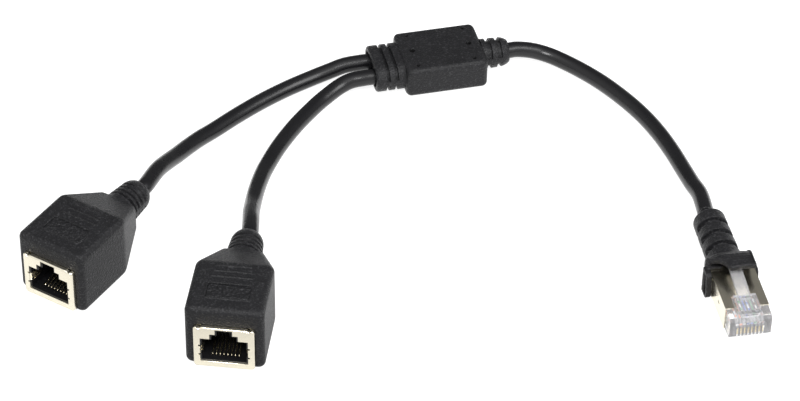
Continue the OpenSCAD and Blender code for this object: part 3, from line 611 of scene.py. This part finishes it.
# The plug boot: sleeve, side arms, latch hood and ribbed relief
bootSpec = {
    "wide": 15.6, "high": 9.0, "sleeveFrom": 20.6, "sleeveTo": 26.4, "sleeveCorner": 1.6,
    "axis": 4.9, "end": 45.0, "reliefFrom": 25.4, "reliefD": 9.8, "tipD": 9.2,
    "grooves": 3, "grooveFrom": 30.0, "groovePitch": 5.0, "grooveWide": 1.9, "grooveDeep": 1.25, "spine": 0.9,
    "armIn": 6.25, "rightIn": 0.85, "panelDeep": 0.28,   # the right arm stands less far out
    "arm": [(18.5, 0.8), (17.7, 1.7), (17.7, 2.4), (18.6, 7.6), (19.1, 8.1), (21.6, 8.2), (21.6, 0.7)],
    "panel": [(19.0, 2.1), (18.9, 2.8), (19.6, 6.9), (24.0, 6.9), (24.0, 2.1)],
    "plugHalfWide": 6.15, "plugLow": 1.1, "plugHigh": 8.2, "plugEnd": 21.8,
    "latchHalf": 2.7, "latchTop": 10.5, "latchEnd": 22.4,
    "ferruleFrom": 18, "ferruleR": 3.05, "ferruleEnd": 26.35, "boreFrom": 20, "boreR": 2.45,
    "hoodFrom": 15.5, "hoodTo": 26.5, "hoodTop": 13.2,
    "hoodLines": {   # the hood's heights and half widths along the boot
        "top": [(15.5, 12.75), (16.2, 13.05), (17.5, 13.15), (19.5, 13.2), (21, 13.0), (22.5, 12.35), (24, 11.1),
                (26.6, 8.5)],
        "low": [(15.5, 11.65), (18, 11.6), (20.5, 11.2), (22.4, 9.7), (24, 8.2), (27, 5)],
        "right": [(15.5, 5.3), (18, 5.35), (20, 5.4), (22, 5.6), (24, 5.5), (27, 4.4)],
        "left": [(15.5, 2.3), (17, 2.6), (18.4, 3.2), (19.6, 4.2), (20.6, 5.4), (21.4, 6.5), (22.2, 7.1),
                 (23.4, 7.1), (24.6, 6.4), (27, 4.4)],
    },
    "voxel": 0.2, "probe": 0.02,
}


def flatBox(px, pz, halfWide, halfHigh, r):
    qx, qz = np.abs(px) - (halfWide - r), np.abs(pz) - (halfHigh - r)
    return np.hypot(np.maximum(qx, 0), np.maximum(qz, 0)) + np.minimum(np.maximum(qx, qz), 0) - r


def polygonField(px, pz, outline, r):  # distance to a polygon in a flat, rounded by r
    points = np.asarray(outline, float)
    best = np.full(np.broadcast(px, pz).shape, 1e9)
    inside = np.ones(best.shape, bool)
    for p, q in zip(points, np.roll(points, -1, axis=0)):
        e = q - p
        t = np.clip(((px - p[0]) * e[0] + (pz - p[1]) * e[1]) / (e @ e), 0, 1)
        best = np.minimum(best, np.hypot(px - p[0] - t * e[0], pz - p[1] - t * e[1]))
        inside &= ((px - p[0]) * e[1] - (pz - p[1]) * e[0]) < 0
    return np.where(inside, -best, best) - r


def sleeveField(x, y, z, outer, s):  # oblong round the plug, growing round towards the relief
    t = np.clip((y - s["sleeveFrom"] - 1) / (s["sleeveTo"] - s["sleeveFrom"] - 1), 0, 1)
    endR = s["reliefD"] / 2 - 0.05
    halfWide = s["wide"] / 2 + (endR - s["wide"] / 2) * t
    halfHigh = s["high"] / 2 + (endR - s["high"] / 2) * t
    corner = s["sleeveCorner"] + (endR - s["sleeveCorner"]) * t
    middle = s["high"] / 2 + (s["axis"] - s["high"] / 2) * t
    sleeve = flatBox(x, z - middle, halfWide, halfHigh, corner) * 0.88
    sleeve = softMax(sleeve, np.maximum(s["sleeveFrom"] - y, y - s["sleeveTo"]), 0.5)
    return softMax(sleeve, np.abs(x) - outer, 0.4)


def reliefField(y, z, rho, s):
    along = np.clip((y - s["sleeveTo"]) / (s["end"] - s["sleeveTo"]), 0, 1)
    relief = rho - (s["reliefD"] / 2 + (s["tipD"] - s["reliefD"]) / 2 * along)
    relief = softMax(relief, y - s["end"], 0.7)
    relief = np.maximum(relief, s["reliefFrom"] - y)
    for k in range(s["grooves"]):
        at = s["grooveFrom"] + k * s["groovePitch"]
        groove = softMax(np.abs(y - at) - s["grooveWide"] / 2, s["tipD"] / 2 - s["grooveDeep"] - rho, 0.25)
        groove = softMax(groove, s["spine"] - np.abs(z - s["axis"]), 0.5)
        relief = softMax(relief, -groove, 0.3)
    return relief


def armField(x, y, z, outer, s):  # a side arm with its sunk panel
    ax = np.abs(x)
    arm = softMax(polygonField(y, z, s["arm"], 0.45), np.maximum(ax - outer, s["armIn"] - ax), 0.3)
    panel = softMax(polygonField(y, z, s["panel"], 0.2), outer - s["panelDeep"] - ax, 0.15)
    return softMax(arm, -panel, 0.15)


def hoodField(x, y, z, s):  # sweeps over the latch, higher at its rim and lower on the left
    lines = s["hoodLines"]
    top, low, right, left = (np.interp(y, *zip(*lines[k])) for k in ("top", "low", "right", "left"))
    hx = np.abs(x - (right - left) / 2)
    half = (right + left) / 2
    crown = 0.7 * np.clip(hx / (half + 0.8), 0, 1.2) ** 3 + 0.45 * softMax(-3.7 - x, 0, 0.8)
    rim = 0.34 * (1 - softStep(y, 15.9, 16.5)) + 0.4 * softStep(hx, half - 0.75, half - 0.4) * (y < 24)
    hood = softMax((z - top + crown - rim) * 0.9, (low - crown * 0.8 - z) * 0.9, 0.3)
    hood = softMax(hood, (hx - half) * 0.93, 0.55)
    hood = softMax(hood, s["hoodFrom"] - y, 0.4)
    return np.maximum(hood, y - s["hoodTo"])


def cavityField(x, y, z, rho, s):  # room for the plug, its latch, the ferrule and the cable
    middle, halfHigh = (s["plugLow"] + s["plugHigh"]) / 2, (s["plugHigh"] - s["plugLow"]) / 2
    plug = np.maximum(flatBox(x, z - middle, s["plugHalfWide"], halfHigh, 0.2), y - s["plugEnd"])
    slot = np.maximum(s["plugHigh"] - 1 - z, z - s["latchTop"])
    latch = np.maximum(np.maximum(np.abs(x) - s["latchHalf"], y - s["latchEnd"]), slot)
    ferrule = np.maximum(rho - s["ferruleR"], np.maximum(y - s["ferruleEnd"], s["ferruleFrom"] - y))
    bore = np.maximum(rho - s["boreR"], s["boreFrom"] - y)
    return np.minimum(np.minimum(plug, latch), np.minimum(ferrule, bore))


def bootField(x, y, z, s):  # below 0 inside the boot
    outer = s["wide"] / 2 - s["rightIn"] * softStep(x, 3.0, 6.0) * (1 - softStep(y, 21.5, 25.0))
    rho = np.hypot(x, z - s["axis"])
    body = softMin(sleeveField(x, y, z, outer, s), reliefField(y, z, rho, s), 0.35)
    body = softMin(body, armField(x, y, z, outer, s), 0.3)
    body = softMin(body, hoodField(x, y, z, s), 0.7)
    return softMax(body, -cavityField(x, y, z, rho, s), 0.22)


def makeBoot(name, node, s):
    v = s["voxel"]
    low = np.array([-s["wide"] / 2 - 1, s["hoodFrom"] - 1, -1.0])
    high = np.array([s["wide"] / 2 + 1, s["end"] + 1, s["hoodTop"] + 1.4])
    count = np.ceil((high - low) / v).astype(int)
    gx, gy, gz = (low[i] + v * np.arange(count[i]) for i in range(3))
    field = bootField(gx[:, None, None], gy[None, :, None], gz[None, None, :], s)
    grid = openvdb.FloatGrid(background=3 * v)
    grid.copyFromArray(np.clip(field, -3 * v, 3 * v).astype(np.float32))
    points, quads = grid.convertToQuads(isovalue=0.0)
    points = low + np.asarray(points, float) * v

    def fieldAt(p):
        return bootField(p[:, 0], p[:, 1], p[:, 2], s)

    def slope(p):
        steps = np.eye(3) * s["probe"]
        return np.stack([(fieldAt(p + d) - fieldAt(p - d)) / (2 * s["probe"]) for d in steps], axis=1)

    for _ in range(2):   # onto the exact surface
        g = slope(points)
        steepness = np.maximum((g * g).sum(axis=1), 0.05)
        points -= np.clip(fieldAt(points) / steepness, -0.12, 0.12)[:, None] * g
    normals = slope(points)
    normals /= np.maximum(np.linalg.norm(normals, axis=1), 1e-6)[:, None]
    piece = makeMesh(name, toTable(points, "plug"), np.asarray(quads), 180)
    turn = Matrix.Rotation(math.radians(places["plug"][2]), 3, "Z")
    piece.data.normals_split_custom_set_from_vertices([turn @ Vector(n) for n in normals])
    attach(piece, "root")
    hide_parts(node)
    return piece


boot = makeBoot("plugBoot", "plug_boot", bootSpec)
print("boot made,", len(boot.data.polygons), "faces")


# Finishes
def newFinish(name):
    material = bpy.data.materials.new(name)
    material.use_nodes = True
    nodes, links = material.node_tree.nodes, material.node_tree.links
    return material, nodes, links, nodes["Principled BSDF"]


def noiseFrom(nodes, links, coords, scale, detail=2.0, rough=0.5):
    noise = nodes.new("ShaderNodeTexNoise")
    noise.inputs["Scale"].default_value = scale
    noise.inputs["Detail"].default_value = detail
    noise.inputs["Roughness"].default_value = rough
    links.new(coords, noise.inputs["Vector"])
    return noise.outputs["Fac"]


def mapTo(nodes, links, value, low, high, start=0.0, end=1.0):
    node = nodes.new("ShaderNodeMapRange")
    for name, amount in (("From Min", start), ("From Max", end), ("To Min", low), ("To Max", high)):
        node.inputs[name].default_value = amount
    links.new(value, node.inputs["Value"])
    return node.outputs["Result"]


def mathOf(nodes, links, operation, *values):  # each value is a number or another node's output
    node = nodes.new("ShaderNodeMath")
    node.operation = operation
    for slot, value in zip(node.inputs, values):
        if isinstance(value, (int, float)):
            slot.default_value = value
        else:
            links.new(value, slot)
    return node.outputs[0]


def bumpFrom(nodes, links, height, strength, distance, under=None):
    bump = nodes.new("ShaderNodeBump")
    bump.inputs["Strength"].default_value = strength
    bump.inputs["Distance"].default_value = distance
    links.new(height, bump.inputs["Height"])
    if under is not None:
        links.new(under, bump.inputs["Normal"])
    return bump.outputs["Normal"]


def blend(nodes, links, factor, first, second):  # first is a colour or another node's output
    mix = nodes.new("ShaderNodeMix")
    mix.data_type = "RGBA"
    if isinstance(first, tuple):
        mix.inputs["A"].default_value = (*first, 1)
    else:
        links.new(first, mix.inputs["A"])
    mix.inputs["B"].default_value = (*second, 1)
    links.new(factor, mix.inputs["Factor"])
    return mix.outputs["Result"]


def marked(nodes, name):  # a value stored on the mesh, 0 where there is none
    attribute = nodes.new("ShaderNodeAttribute")
    attribute.attribute_name = name
    return attribute.outputs["Fac"]


mouldingFinish = {
    "dark": (0.0085, 0.0085, 0.0095), "light": (0.016, 0.016, 0.0175),
    "roughLow": 0.34, "roughHigh": 0.52, "specular": 0.2,
    "cloud": 160, "scuff": 900, "grain": 1900, "grainDepth": 0.0004,
    "cast": 1045, "castDepth": 0.0007,   # the rougher label field
    "speck": (0.045, 0.045, 0.048), "speckFrom": 0.55, "speckTo": 0.75,
    # painted shade: near-black colour laid into the dimples where shade falls
    "dimpleShade": (0.001, 0.001, 0.001),
}


def makeMouldingFinish(s):
    material, nodes, links, shader = newFinish("mouldedPvc")
    coords = nodes.new("ShaderNodeTexCoord").outputs["Object"]
    cloud = noiseFrom(nodes, links, coords, s["cloud"], 4)
    grain = noiseFrom(nodes, links, coords, s["grain"], 2)
    coarse = noiseFrom(nodes, links, coords, s["cast"], 1)
    scuff = noiseFrom(nodes, links, coords, s["scuff"], 5, 0.7)
    base = blend(nodes, links, cloud, s["dark"], s["light"])
    specks = mapTo(nodes, links, grain, 0.0, 1.0, s["speckFrom"], s["speckTo"])
    base = blend(nodes, links, specks, base, s["speck"])
    # painted shade: darkens the junction's dimples by the mask stored on the mesh
    base = blend(nodes, links, marked(nodes, "paintedDimpleShade"), base, s["dimpleShade"])
    links.new(base, shader.inputs["Base Color"])
    links.new(mapTo(nodes, links, scuff, s["roughLow"], s["roughHigh"]), shader.inputs["Roughness"])
    cast = mathOf(nodes, links, "MULTIPLY", coarse, marked(nodes, "labelField"))
    fine = bumpFrom(nodes, links, grain, 0.8, s["grainDepth"])
    links.new(bumpFrom(nodes, links, cast, 1.0, s["castDepth"], fine), shader.inputs["Normal"])
    shader.inputs["Specular IOR Level"].default_value = s["specular"]
    return material


jacketFinish = {
    "dark": (0.005, 0.005, 0.006), "light": (0.010, 0.010, 0.011),
    "roughLow": 0.2, "roughHigh": 0.34, "specular": 0.36,
    "cloud": 120, "ripple": 420, "rippleDepth": 0.00012, "grain": 5000, "grainDepth": 0.000012,
}


def makeJacketFinish(s):
    material, nodes, links, shader = newFinish("cableJacket")
    coords = nodes.new("ShaderNodeTexCoord").outputs["Object"]
    cloud = noiseFrom(nodes, links, coords, s["cloud"], 3)
    ripple = noiseFrom(nodes, links, coords, s["ripple"], 2)
    grain = noiseFrom(nodes, links, coords, s["grain"], 2)
    links.new(blend(nodes, links, cloud, s["dark"], s["light"]), shader.inputs["Base Color"])
    links.new(mapTo(nodes, links, cloud, s["roughLow"], s["roughHigh"]), shader.inputs["Roughness"])
    wave = bumpFrom(nodes, links, ripple, 0.25, s["rippleDepth"])
    links.new(bumpFrom(nodes, links, grain, 0.4, s["grainDepth"], wave), shader.inputs["Normal"])
    shader.inputs["Specular IOR Level"].default_value = s["specular"]
    return material


nickelFinish = {   # brush stretches the fine lines along x
    "warm": (0.93, 0.87, 0.71), "cool": (0.85, 0.80, 0.66), "roughLow": 0.14, "roughHigh": 0.3,
    "cloud": 500, "lines": 3200, "lineDepth": 0.000006, "brush": 0.2,
}
goldFinish = {
    "warm": (0.96, 0.86, 0.64), "cool": (0.86, 0.76, 0.54), "roughLow": 0.14, "roughHigh": 0.28,
    "cloud": 500, "lines": 3200, "lineDepth": 0.000006, "brush": 1.0,
}


def makeMetalFinish(name, s):
    material, nodes, links, shader = newFinish(name)
    coords = nodes.new("ShaderNodeTexCoord").outputs["Object"]
    stretch = nodes.new("ShaderNodeMapping")
    stretch.inputs["Scale"].default_value = (s["brush"], 1, 1)
    links.new(coords, stretch.inputs["Vector"])
    cloud = noiseFrom(nodes, links, coords, s["cloud"], 3)
    lines = noiseFrom(nodes, links, stretch.outputs["Vector"], s["lines"], 3, 0.6)
    links.new(blend(nodes, links, cloud, s["cool"], s["warm"]), shader.inputs["Base Color"])
    links.new(mapTo(nodes, links, lines, s["roughLow"], s["roughHigh"]), shader.inputs["Roughness"])
    links.new(bumpFrom(nodes, links, lines, 0.25, s["lineDepth"]), shader.inputs["Normal"])
    shader.inputs["Metallic"].default_value = 1
    return material


socketFinish = {
    "dark": (0.005, 0.005, 0.006), "light": (0.009, 0.009, 0.010), "roughLow": 0.33, "roughHigh": 0.45,
    "cloud": 700, "grain": 6000, "grainDepth": 0.00001,
}


def makeSocketFinish(s):
    material, nodes, links, shader = newFinish("socketPlastic")
    coords = nodes.new("ShaderNodeTexCoord").outputs["Object"]
    cloud = noiseFrom(nodes, links, coords, s["cloud"], 3)
    grain = noiseFrom(nodes, links, coords, s["grain"], 2)
    links.new(blend(nodes, links, cloud, s["dark"], s["light"]), shader.inputs["Base Color"])
    links.new(mapTo(nodes, links, cloud, s["roughLow"], s["roughHigh"]), shader.inputs["Roughness"])
    links.new(bumpFrom(nodes, links, grain, 0.5, s["grainDepth"]), shader.inputs["Normal"])
    return material


clearFinish = {
    "dark": (0.93, 0.93, 0.96), "light": (0.99, 0.99, 1.0), "roughLow": 0.03, "roughHigh": 0.1,
    "cloud": 900, "flow": 350, "flowDepth": 0.00006, "clear": 0.8, "index": 1.5,
}


def makeClearFinish(s):
    material, nodes, links, shader = newFinish("clearPolycarbonate")
    coords = nodes.new("ShaderNodeTexCoord").outputs["Object"]
    cloud = noiseFrom(nodes, links, coords, s["cloud"], 3)
    flow = noiseFrom(nodes, links, coords, s["flow"], 2)
    links.new(blend(nodes, links, cloud, s["dark"], s["light"]), shader.inputs["Base Color"])
    links.new(mapTo(nodes, links, cloud, s["roughLow"], s["roughHigh"]), shader.inputs["Roughness"])
    links.new(bumpFrom(nodes, links, flow, 0.3, s["flowDepth"]), shader.inputs["Normal"])
    shader.inputs["Transmission Weight"].default_value = s["clear"]
    shader.inputs["IOR"].default_value = s["index"]
    return material


wireFinish = {
    "bands": 130, "wander": 1.5, "stripeFrom": 0.60, "stripeTo": 0.68, "rough": 0.38,
    "tints": {   # ground colour and stripe
        "wire_white_orange": ((0.86, 0.84, 0.80), (0.86, 0.25, 0.05)),
        "wire_orange": ((0.86, 0.24, 0.05), (0.80, 0.20, 0.04)),
        "wire_white_green": ((0.84, 0.86, 0.82), (0.05, 0.40, 0.12)),
        "wire_blue": ((0.04, 0.13, 0.55), (0.03, 0.10, 0.48)),
        "wire_white_blue": ((0.82, 0.84, 0.88), (0.04, 0.14, 0.55)),
        "wire_green": ((0.04, 0.38, 0.12), (0.03, 0.32, 0.10)),
        "wire_white_brown": ((0.86, 0.83, 0.80), (0.25, 0.10, 0.05)),
        "wire_brown": ((0.26, 0.10, 0.05), (0.22, 0.08, 0.04)),
    },
}


def makeWireFinish(name, first, second, s):
    material, nodes, links, shader = newFinish(name)
    coords = nodes.new("ShaderNodeTexCoord").outputs["Object"]
    wave = nodes.new("ShaderNodeTexWave")
    wave.bands_direction = "Y"
    wave.inputs["Scale"].default_value = s["bands"]
    wave.inputs["Distortion"].default_value = s["wander"]
    links.new(coords, wave.inputs["Vector"])
    ramp = nodes.new("ShaderNodeValToRGB")
    ends = ((s["stripeFrom"], first), (s["stripeTo"], second))
    for stop, (position, tint) in zip(ramp.color_ramp.elements, ends):
        stop.position = position
        stop.color = (*tint, 1)
    links.new(wave.outputs["Fac"], ramp.inputs["Fac"])
    links.new(ramp.outputs["Color"], shader.inputs["Base Color"])
    shader.inputs["Roughness"].default_value = s["rough"]
    return material


boardFinish = {"dark": (0.02, 0.13, 0.05), "light": (0.03, 0.2, 0.08), "cloud": 1500, "rough": 0.4}


def makeBoardFinish(s):
    material, nodes, links, shader = newFinish("circuitBoard")
    coords = nodes.new("ShaderNodeTexCoord").outputs["Object"]
    cloud = noiseFrom(nodes, links, coords, s["cloud"], 3)
    links.new(blend(nodes, links, cloud, s["dark"], s["light"]), shader.inputs["Base Color"])
    shader.inputs["Roughness"].default_value = s["rough"]
    return material


moulded = makeMouldingFinish(mouldingFinish)
jacket = makeJacketFinish(jacketFinish)
nickel = makeMetalFinish("nickelSheet", nickelFinish)
finishes = {
    "moulding": moulded, "jacket": jacket, "nickel": nickel,
    "gold": makeMetalFinish("goldPlate", goldFinish),
    "socket_black": makeSocketFinish(socketFinish),
    "clear_housing": makeClearFinish(clearFinish),
    "board": makeBoardFinish(boardFinish),
}
for slotName, (first, second) in wireFinish["tints"].items():
    finishes[slotName] = makeWireFinish(slotName.replace("wire_", "insulation_"), first, second, wireFinish)


def dress(piece, material):
    piece.data.materials.clear()
    piece.data.materials.append(material)


for cable in cables:
    dress(cable, jacket)
for piece in mouldings + [junction, boot]:
    dress(piece, moulded)
for piece in shields:
    dress(piece, nickel)


slotWords = [   # the first word found in a node's name gives its finish
    ("contact", "gold"), ("insert", "socket_black"), ("board", "board"), ("left_leg_wires", "wire_blue"),
    ("right_leg_wires", "wire_green"), ("wires", "wire_orange"), ("plug_shield", "nickel")]


def slotOf(name):
    if name.startswith("plug_wire_"):
        return list(wireFinish["tints"])[int(name.rsplit("_", 1)[1]) - 1]
    return next((slot for word, slot in slotWords if word in name), "clear_housing")


for name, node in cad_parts.items():
    if node.hide_render:
        continue
    material = finishes[slotOf(name)]
    if node.material_slots:
        for place in node.material_slots:
            place.material = material
    else:
        node.data.materials.append(material)
print("finishes made")

# Floor, light and background
studio = {
    "floorHalf": 0.6, "floorDrop": 0.00005, "albedo": 0.4,
    "shown": 0.86,        # how bright the floor looks to the camera
    "mirrored": 0.24, "mirroredFar": 1.1, "farFrom": -0.16, "farTo": -0.06,   # and in reflections, by depth
    "fill": 0.46, "behind": 0.18, "behindFrom": -0.25, "behindTo": 0.55,
}

lamps = [   # name, place, aim, size and power
    ("keyLamp", (0.75, -0.35, 0.85), (0, -0.06, 0), 0.7, 10.0),
    ("softLamp", (-0.3, -0.5, 1.2), (0, -0.06, 0), 0.9, 2.0),
    ("frontLamp", (0.0, -0.95, 1.1), (0, -0.1, 0), 0.4, 11.0),
]


def makeFloor(s):
    size, z = s["floorHalf"], -s["floorDrop"]
    corners = [(-size, -size, z), (size, -size, z), (size, size, z), (-size, size, z)]
    floor = makeMesh("floor", corners, [(0, 1, 2, 3)])
    material, nodes, links, shader = newFinish("paleFloor")
    shader.inputs["Base Color"].default_value = (s["albedo"], s["albedo"], s["albedo"], 1)
    shader.inputs["Roughness"].default_value = 1
    shader.inputs["Specular IOR Level"].default_value = 0
    ray = nodes.new("ShaderNodeLightPath").outputs
    direct = mathOf(nodes, links, "MAXIMUM", ray["Is Camera Ray"], ray["Is Transmission Ray"])
    shown = mathOf(nodes, links, "MULTIPLY", direct, s["shown"])
    where = nodes.new("ShaderNodeSeparateXYZ")
    links.new(nodes.new("ShaderNodeNewGeometry").outputs["Position"], where.inputs[0])
    depth = mapTo(nodes, links, where.outputs["Y"], s["mirrored"], s["mirroredFar"], s["farFrom"], s["farTo"])
    glow = nodes.new("ShaderNodeEmission")
    strength = mathOf(nodes, links, "MULTIPLY_ADD", ray["Is Glossy Ray"], depth, shown)
    links.new(strength, glow.inputs["Strength"])
    both = nodes.new("ShaderNodeAddShader")
    links.new(shader.outputs["BSDF"], both.inputs[0])
    links.new(glow.outputs["Emission"], both.inputs[1])
    links.new(both.outputs["Shader"], nodes["Material Output"].inputs["Surface"])
    dress(floor, material)


def makeWorld(s):
    world = bpy.data.worlds.new("studio")
    bpy.context.scene.world = world
    world.use_nodes = True
    nodes, links = world.node_tree.nodes, world.node_tree.links

    def background(node, strength):
        node.inputs["Color"].default_value = (1, 1, 1, 1)
        node.inputs["Strength"].default_value = strength
        return node

    def choose(factor, first, second):
        mix = nodes.new("ShaderNodeMixShader")
        for slot, value in zip(mix.inputs, (factor, first, second)):
            links.new(value, slot)
        return mix.outputs[0]

    lit = background(nodes["Background"], s["fill"])
    seen = background(nodes.new("ShaderNodeBackground"), 1)
    shiny = background(nodes.new("ShaderNodeBackground"), 1)   # darker towards the back
    where = nodes.new("ShaderNodeSeparateXYZ")
    links.new(nodes.new("ShaderNodeTexCoord").outputs["Generated"], where.inputs[0])
    fade = mapTo(nodes, links, where.outputs["Y"], 1, s["behind"], s["behindFrom"], s["behindTo"])
    links.new(fade, shiny.inputs["Strength"])
    ray = nodes.new("ShaderNodeLightPath").outputs
    indirect = choose(ray["Is Glossy Ray"], lit.outputs[0], shiny.outputs[0])
    direct = mathOf(nodes, links, "MAXIMUM", ray["Is Camera Ray"], ray["Is Transmission Ray"])
    links.new(choose(direct, indirect, seen.outputs[0]), nodes["World Output"].inputs["Surface"])


def makeLamp(name, place, aim, size, power):
    data = bpy.data.lights.new(name, "AREA")
    data.size = size
    data.energy = power
    lamp = bpy.data.objects.new(name, data)
    lamp.location = place
    lamp.rotation_euler = (Vector(aim) - Vector(place)).to_track_quat("-Z", "Y").to_euler()
    bpy.context.scene.collection.objects.link(lamp)


makeFloor(studio)
makeWorld(studio)
for lamp in lamps:
    makeLamp(*lamp)
bpy.context.scene.view_settings.view_transform = "Standard"
print("studio lit")
